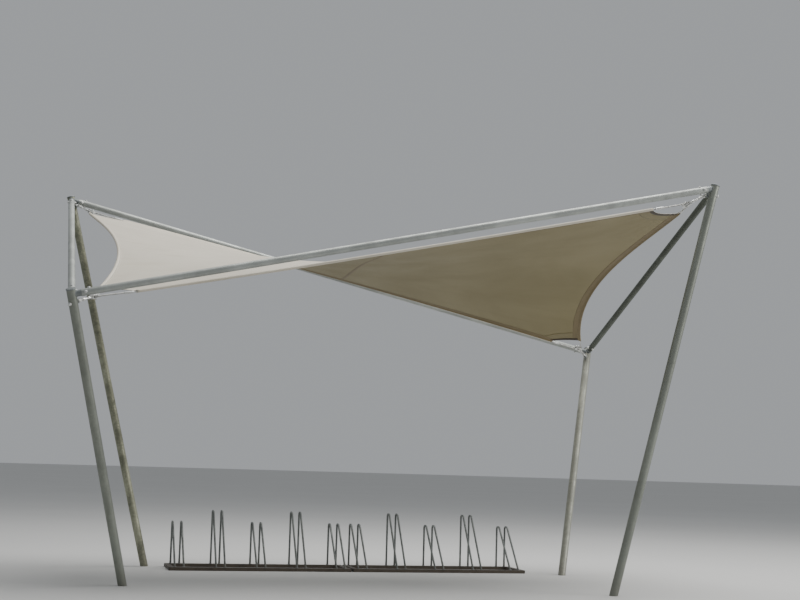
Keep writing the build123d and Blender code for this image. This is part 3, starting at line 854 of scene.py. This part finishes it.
def rope_path(sizes, net, edge):
    """Points of an edge rope from the back of one disc to the back of the other.

    Round the disc it is an arc, then a cubic Hermite curve whose end slopes are as long as its
    chord leads to the pocket, and inside the pocket it follows the edge.
    """
    controls = net[:, 0] if edge == "front" else net[0]
    corners = ("front_left", "front_right" if edge == "front" else "rear_left")
    zero = np.zeros(1)
    ends = (share_outside_cut(net, edge, False, sizes.low_cut, zero)[0],
            share_outside_cut(net, edge, True, sizes.high_cut, zero)[0])
    leads = []
    for corner, t, sign in ((corners[0], ends[0], -1), (corners[1], ends[1], 1)):
        spot = weights(t) @ controls
        heading = unit(slopes(t) @ controls) * sign
        disc = disc_axes(sizes, corner)
        basis = np.array([disc["along"], np.cross(disc["upright"], disc["along"]), disc["upright"]])
        flat = (basis @ (spot - disc["centre"]))[:2]
        wrap, reach = sizes.groove_radius + sizes.rope_radius, np.linalg.norm(flat)
        turn = 1 if flat[1] > 0 else -1
        lean = -turn * math.asin(wrap / reach)
        back = -flat / reach
        arrive = np.array([back[0] * math.cos(lean) - back[1] * math.sin(lean),
                           back[0] * math.sin(lean) + back[1] * math.cos(lean)])
        touch = flat + arrive * math.sqrt(reach**2 - wrap**2)
        angle = np.linspace(math.atan2(touch[1], touch[0]), turn * math.pi, 22)[:, None]
        arc = disc["centre"] + wrap * (np.cos(angle) * basis[0] + np.sin(angle) * basis[1])
        chord = np.linalg.norm(arc[0] - spot)
        x = np.linspace(0, 1, 60)[:, None]
        lead = ((2 * x**3 - 3 * x**2 + 1) * spot + (x**3 - 2 * x**2 + x) * chord * heading
                + (3 * x**2 - 2 * x**3) * arc[0] + (x**3 - x**2) * chord * (arrive @ basis[:2]))
        leads.append(np.concatenate([lead, arc[1:]]))
    near, far = 0.03, 0.04
    inside = np.concatenate([np.linspace(ends[0], ends[0] + near, 24),
                             np.linspace(ends[0] + far, ends[1] - far, 60),
                             np.linspace(ends[1] - near, ends[1], 24)])
    return np.concatenate([leads[0][:0:-1], weights(inside) @ controls, leads[1][1:]]), leads


def path_frame(path):
    """Sideways and upward directions along a path: tangent cross vertical, and that cross tangent."""
    tangent = unit(np.gradient(path, axis=0))
    side = unit(np.cross(tangent, UP))
    return side, np.cross(side, tangent)


class SHELTER_OT_ropes(bpy.types.Operator):
    """Edge ropes of six strands laid round a core, with a ferrule where each leaves its pocket"""

    bl_idname = "shelter.ropes"
    bl_label = "Edge ropes"

    def execute(self, context):
        s = context.scene.shelter_sizes
        net = edge_net(s)
        ferrules = []
        for edge in ("front", "left"):
            path, leads = rope_path(s, net, edge)
            side, lift = path_frame(path)
            run = np.concatenate([[0], np.cumsum(np.linalg.norm(np.diff(path, axis=0), axis=1))])
            around = np.linspace(0, 2 * np.pi, 36, endpoint=False)
            fold = (around + np.pi / 6) % (np.pi / 3) - np.pi / 6
            strand = s.rope_radius / 3
            hollow = np.sqrt(np.clip(strand**2 - (2 * strand * np.sin(fold)) ** 2, 0, None))
            radius = np.maximum(2 * strand * np.cos(fold) + hollow, 0.62 * s.rope_radius)
            angle = around + (2 * np.pi * run / s.rope_lay)[:, None]
            point = round_path(path[:, None], side[:, None], lift[:, None], radius, angle)
            metres = np.stack(np.broadcast_arrays(run[:, None], around * s.rope_radius), -1)
            twin_pieces("edge_rope", edge, point, metres)
            for lead in leads:
                some = lead[4:20]
                side, lift = path_frame(some)
                swell = 1.7 * np.sin(np.pi * np.linspace(0.16, 0.84, len(some))) ** 0.35
                tube = along_path(some, side, lift, ring_profile(s.rope_radius, 14), swell)
                ferrules += [(tube, False, True, True), (tube * HALF_TURN, False, True, True)]
        new_piece("rope_ferrules", "", ferrules)
        return {"FINISHED"}


class SHELTER_OT_turnbuckle_fixings(bpy.types.Operator):
    """Rolled threads and lock nuts of the turnbuckles, and the heads of their pins"""

    bl_idname = "shelter.turnbuckle_fixings"
    bl_label = "Turnbuckle fixings"

    def execute(self, context):
        s = context.scene.shelter_sizes
        around = np.linspace(0, 2 * np.pi, 18, endpoint=False)
        eye_fork, disc_fork, body_length = 0.026, 0.041, 0.064
        eye_grip, disc_grip, pin_radius, lug_bolt_radius = 0.0096, 0.0146, 0.0045, 0.006
        in_boss, end_gap, washer_gap = 0.0178, 0.0002, 0.0004
        shank_radius, tooth_height, pitch, ring_step = 0.00502, 0.0005, 0.0015, 0.00025
        nut = [(0.0001, 0.0056, 0), (0.0001, 0.0078, 0), (0.0006, 0.0085, 1),
               (0.0054, 0.0085, 1), (0.006, 0.0078, 0), (0.006, 0.0056, 0)]
        for corner in CORNERS:
            d = disc_axes(s, corner)
            eye, along, across = d["eye"], d["along"], d["across"]
            reach = np.linalg.norm(d["centre"] - eye)
            body_start = (eye_fork + reach - disc_fork - body_length) / 2
            body_end = body_start + body_length
            blocks = []
            for start, end in ((eye_fork + end_gap, body_start + in_boss),
                               (body_end - in_boss, reach - disc_fork - end_gap)):
                run = np.linspace(start, end, int((end - start) / ring_step))[:, None]
                tooth = np.abs((run / pitch - around / (2 * np.pi)) % 1 * 2 - 1)
                middle = eye + run[..., None] * along
                radius = shank_radius + tooth_height * tooth
                thread = round_path(middle, across, np.cross(along, across), radius, around)
                blocks.append((thread, False, True, True))
            blocks.append(turned_part(eye + along * body_start, -along, nut))
            blocks.append(turned_part(eye + along * body_end, along, nut))
            blocks += through_bolt(eye, across, eye_grip, pin_radius)
            blocks += through_bolt(d["centre"], d["upright"], disc_grip, pin_radius)
            seat = d["lug"] - d["outward"] * (s.post_radius + washer_gap)
            blocks.append(bolt_end(seat, -d["outward"], lug_bolt_radius, NUT))
            new_piece("turnbuckle_fixings", f"_{corner}", blocks)
        return {"FINISHED"}


class SHELTER_OT_beam_bolts(bpy.types.Operator):
    """Two crossed through bolts at each beam end, which hold the beam on its stub"""

    bl_idname = "shelter.beam_bolts"
    bl_label = "Beam bolts"

    def execute(self, context):
        s = context.scene.shelter_sizes
        between_bolts = 0.026
        for corner, neighbours in NEIGHBOURS.items():
            node = node_point(s, corner)
            blocks = []
            for neighbour in neighbours:
                run = unit(node_point(s, neighbour) - node)
                outward = unit(np.cross(run, UP))
                outward = outward * (1 if outward @ node > 0 else -1)
                upward = unit(np.cross(outward, run))
                upward = upward * (1 if upward[2] > 0 else -1)
                for step, direction in ((0.0, outward), (between_bolts, upward)):
                    centre = node + run * (s.bolt_place + step)
                    blocks += through_bolt(centre, direction, s.beam_radius, s.bolt_radius)
            new_piece("beam_bolts", f"_{corner}", blocks)
        return {"FINISHED"}


class SHELTER_OT_frame_welds(bpy.types.Operator):
    """Weld beads where stubs, lugs and caps meet the posts

    A stub's bead follows the two tubes' crossing: from each point of the stub's end circle it goes
    along the stub until it is a post radius, and a gap, from the post's axis. That is the larger
    root of a quadratic.
    """

    bl_idname = "shelter.frame_welds"
    bl_label = "Frame welds"

    def execute(self, context):
        s = context.scene.shelter_sizes
        a = np.linspace(0, 2 * np.pi, 120, endpoint=False)[:, None]
        gap, lug_wide, lug_high = 0.0004, 0.0042, 0.0152
        for corner, neighbours in NEIGHBOURS.items():
            node = node_point(s, corner)
            axis = post_line(s, corner)[1]
            d = disc_axes(s, corner)
            blocks = []
            for neighbour in neighbours:
                run = unit(node_point(s, neighbour) - node)
                side = unit(np.cross(axis, run))
                spoke = np.cos(a) * side + np.sin(a) * np.cross(run, side)
                offset = spoke * s.stub_radius
                flat_run = run - axis * (run @ axis)
                flat_offset = offset - (offset @ axis)[:, None] * axis
                b = flat_offset @ flat_run
                c = np.sum(flat_offset**2, -1) - (s.post_radius + gap) ** 2
                k = flat_run @ flat_run
                step = (-b + np.sqrt(np.maximum(b * b - k * c, 0))) / k
                path = node + offset + step[:, None] * run
                blocks.append(weld_bead(path, spoke, run, radius=0.0034, ripples=44))
            side = unit(np.cross(axis, UP))
            spoke = np.cos(a) * side + np.sin(a) * np.cross(axis, side)
            x, y = CORNERS[corner]
            top = node + axis * s.cap_welds[0 if x == y else 1]
            blocks.append(weld_bead(top + spoke * s.post_radius, spoke, axis, radius=0.0018, ripples=60))
            wide, high = rounded_box(a, 0.4)
            deep = np.sqrt(s.post_radius**2 - (lug_wide * wide) ** 2)
            path = d["lug"] + d["outward"] * deep + d["across"] * lug_wide * wide + axis * lug_high * high
            away = unit(d["across"] * wide + axis * high)
            blocks.append(weld_bead(path, away, d["outward"], radius=0.0026, ripples=24))
            new_piece("frame_welds", f"_{corner}", blocks)
        return {"FINISHED"}


class SHELTER_OT_rack_trim(bpy.types.Operator):
    """Weld beads at the hoops' feet and plastic plugs in the ends of the rails"""

    bl_idname = "shelter.rack_trim"
    bl_label = "Rack welds and plugs"

    def execute(self, context):
        a = np.linspace(0, 2 * np.pi, 18, endpoint=False)
        half_rail, end_margin, pitch, half_gap, foot_lift = 0.020, 0.08, 0.32, 0.035, 0.0006
        foot_radius, lean_shift, lean_stretch = 0.0084, 0.0095, 1.28
        wide, tall = rounded_box(np.linspace(0, 2 * np.pi, 32, endpoint=False), 0.25)
        rings = np.array([(-0.012, 0.0176, 0.0101), (-0.0001, 0.0176, 0.0101), (0.0003, 0.0192, 0.0117),
                          (0.0022, 0.0192, 0.0117), (0.0034, 0.0178, 0.0103), (0.0038, 0.012, 0.006)])
        out_of_end, half_wide, half_tall = rings.T[:, :, None]
        for side in ("left", "right"):
            low, high = (np.array(corner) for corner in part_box(f"rack_base_{side}"))
            front, rear, top = low[1] + half_rail, high[1] - half_rail, high[2]
            places = low[0] + end_margin + pitch * np.repeat(np.arange(5), 2)
            bars = places + np.tile([-half_gap, half_gap], 5)
            welds, plugs = [], []
            for y, shift, stretch in ((front, lean_shift, lean_stretch), (rear, 0.0, 1.0)):
                spoke = np.stack([np.cos(a), np.sin(a) * stretch, 0 * a], -1)
                for x in bars:
                    path = np.array([x, y + shift, top + foot_lift]) + spoke * foot_radius
                    welds.append(weld_bead(path, unit(spoke), UP, radius=0.0030, ripples=9))
                for x, out in ((low[0], -1), (high[0], 1)):
                    grid = np.stack(np.broadcast_arrays(x + out * out_of_end, y + half_wide * wide,
                                                        (low[2] + top) / 2 + half_tall * tall), -1)
                    plugs.append((grid, False, True, True))
            new_piece("rack_welds", f"_{side}", welds)
            new_piece("rack_plugs", f"_{side}", plugs)
        return {"FINISHED"}


# The right side beam takes the darkened zinc, which is painted shade
NODE_FINISHES = (
    ("post_cap", "zinc_dull"), ("post_front", "zinc_grey"), ("post_rear_left", "zinc_old"),
    ("post_rear_right", "zinc_pale"), ("beam_stubs", "zinc_dull"), ("beam_right", "zinc_dark_painted_shade"),
    ("beam_", "zinc"), ("lug_", "zinc_dull"), ("corner_disc", "bright"), ("turnbuckle", "bright"),
    ("edge_cable", "rope"), ("hem_", "hem_top"), ("membrane", "cloth_top"), ("rack_base", "rail"),
    ("rack_hoops", "hoop"),
)


class SHELTER_OT_finishes(bpy.types.Operator):
    """Give every solid of the frame its finish"""

    bl_idname = "shelter.finishes"
    bl_label = "Finishes of the solids"

    def execute(self, context):
        for name, node in frame["nodes"].items():
            finish = finish_of(next(kind for start, kind in NODE_FINISHES if name.startswith(start)))
            if not node.material_slots:
                node.data.materials.append(finish)
            for material_slot in node.material_slots:
                material_slot.material = finish
        return {"FINISHED"}


class SHELTER_OT_studio(bpy.types.Operator):
    """Pale floor, soft lights and the camera at the photograph's viewpoint"""

    bl_idname = "shelter.studio"
    bl_label = "Studio"

    def execute(self, context):
        c = context.scene.shelter_colours
        scene = context.scene
        add, finish = new_finish("studio_floor")
        soft = clouds(add, stretched(add), 0.35, 3.0, 0.5)
        tone = layered(add, shade(c.floor, 0.985), [(soft, 0.35, 0.65, 1.0, shade(c.floor, 1.015))])
        material = finish(Base_Color=tone, Roughness=0.85)
        angle = np.linspace(0, 2 * np.pi, 96, endpoint=False)
        radius, floor_height = np.array([0.01, 4.0, 12.0, 40.0, 90.0])[:, None], -0.0005
        rings = (radius * np.cos(angle), radius * np.sin(angle), floor_height)
        grid = np.stack(np.broadcast_arrays(*rings), -1)
        mesh = surface_mesh("studio_floor", [(grid, False, True, False)])
        floor = bpy.data.objects.new("studio_floor", mesh)
        floor.data.materials.append(material)
        scene.collection.objects.link(floor)

        world = bpy.data.worlds.new("studio")
        world.use_nodes = True
        sky_colour, sky_strength = world.node_tree.nodes["Background"].inputs[:2]
        sky_colour.default_value = (0.80, 0.83, 0.86, 1)
        sky_strength.default_value = 0.46
        scene.world = world
        for name, spot, aim, size, power, tint in (
            ("overhead", (2.0, 0.5, 9.0), (0, 0, 1.5), 8.0, 950, (1.0, 0.985, 0.96)),
            ("right_front", (9.5, -5.0, 4.5), (0, 0, 1.6), 4.0, 430, (1.0, 0.99, 0.97)),
        ):
            data = bpy.data.lights.new(name, "AREA")
            data.shape = "DISK"
            data.size = size
            data.energy = power
            data.color = tint
            light = bpy.data.objects.new(name, data)
            light.location = spot
            light.rotation_mode = "QUATERNION"
            light.rotation_quaternion = (Vector(aim) - Vector(spot)).to_track_quat("-Z", "Y")
            scene.collection.objects.link(light)

        yaw, pitch, roll, eye = 0.2496, 0.1144, 0.0288, (-2.4155, -10.348, 0.8883)
        focal_pixels, photo_width, sensor_width = 1401.6, 800, 36.0
        ahead = np.array([math.sin(yaw) * math.cos(pitch), math.cos(yaw) * math.cos(pitch), math.sin(pitch)])
        level = np.array([math.cos(yaw), -math.sin(yaw), 0.0])
        upright = np.cross(level, ahead)
        right = math.cos(roll) * level + math.sin(roll) * upright
        up = -math.sin(roll) * level + math.cos(roll) * upright
        data = bpy.data.cameras.new("view")
        data.sensor_fit = "HORIZONTAL"
        data.sensor_width = sensor_width
        data.lens = focal_pixels * sensor_width / photo_width
        data.clip_end = 300
        camera = bpy.data.objects.new("view", data)
        turn = Matrix((right, up, -ahead)).transposed().to_4x4()
        camera.matrix_world = Matrix.Translation(eye) @ turn
        scene.collection.objects.link(camera)
        scene.camera = camera
        return {"FINISHED"}


STEPS = (
    SHELTER_OT_finishes, SHELTER_OT_hems, SHELTER_OT_corner_cloth, SHELTER_OT_seam, SHELTER_OT_ropes,
    SHELTER_OT_cloth, SHELTER_OT_turnbuckle_fixings, SHELTER_OT_beam_bolts, SHELTER_OT_frame_welds,
    SHELTER_OT_rack_trim, SHELTER_OT_studio,
)


class SHELTER_PT_panel(bpy.types.Panel):
    """Sizes, colours and one button for each group of pieces"""

    bl_idname = "SHELTER_PT_panel"
    bl_label = "Bicycle shelter"
    bl_space_type = "VIEW_3D"
    bl_region_type = "UI"
    bl_category = "Shelter"

    def draw(self, context):
        for step in STEPS:
            self.layout.operator(step.bl_idname)
        for group in (context.scene.shelter_sizes, context.scene.shelter_colours):
            box = self.layout.box()
            for name in group.__annotations__:
                box.prop(group, name)


CLASSES = (ShelterSizes, ShelterColours, *STEPS, SHELTER_PT_panel)


def register():
    for cls in CLASSES:
        bpy.utils.register_class(cls)
    bpy.types.Scene.shelter_sizes = PointerProperty(type=ShelterSizes)
    bpy.types.Scene.shelter_colours = PointerProperty(type=ShelterColours)


def unregister():
    del bpy.types.Scene.shelter_colours
    del bpy.types.Scene.shelter_sizes
    for cls in reversed(CLASSES):
        bpy.utils.unregister_class(cls)


def main():
    register()
    for step in STEPS:
        group, name = step.bl_idname.split(".")
        getattr(getattr(bpy.ops, group), name)()


if __name__ == "__main__":
    main()
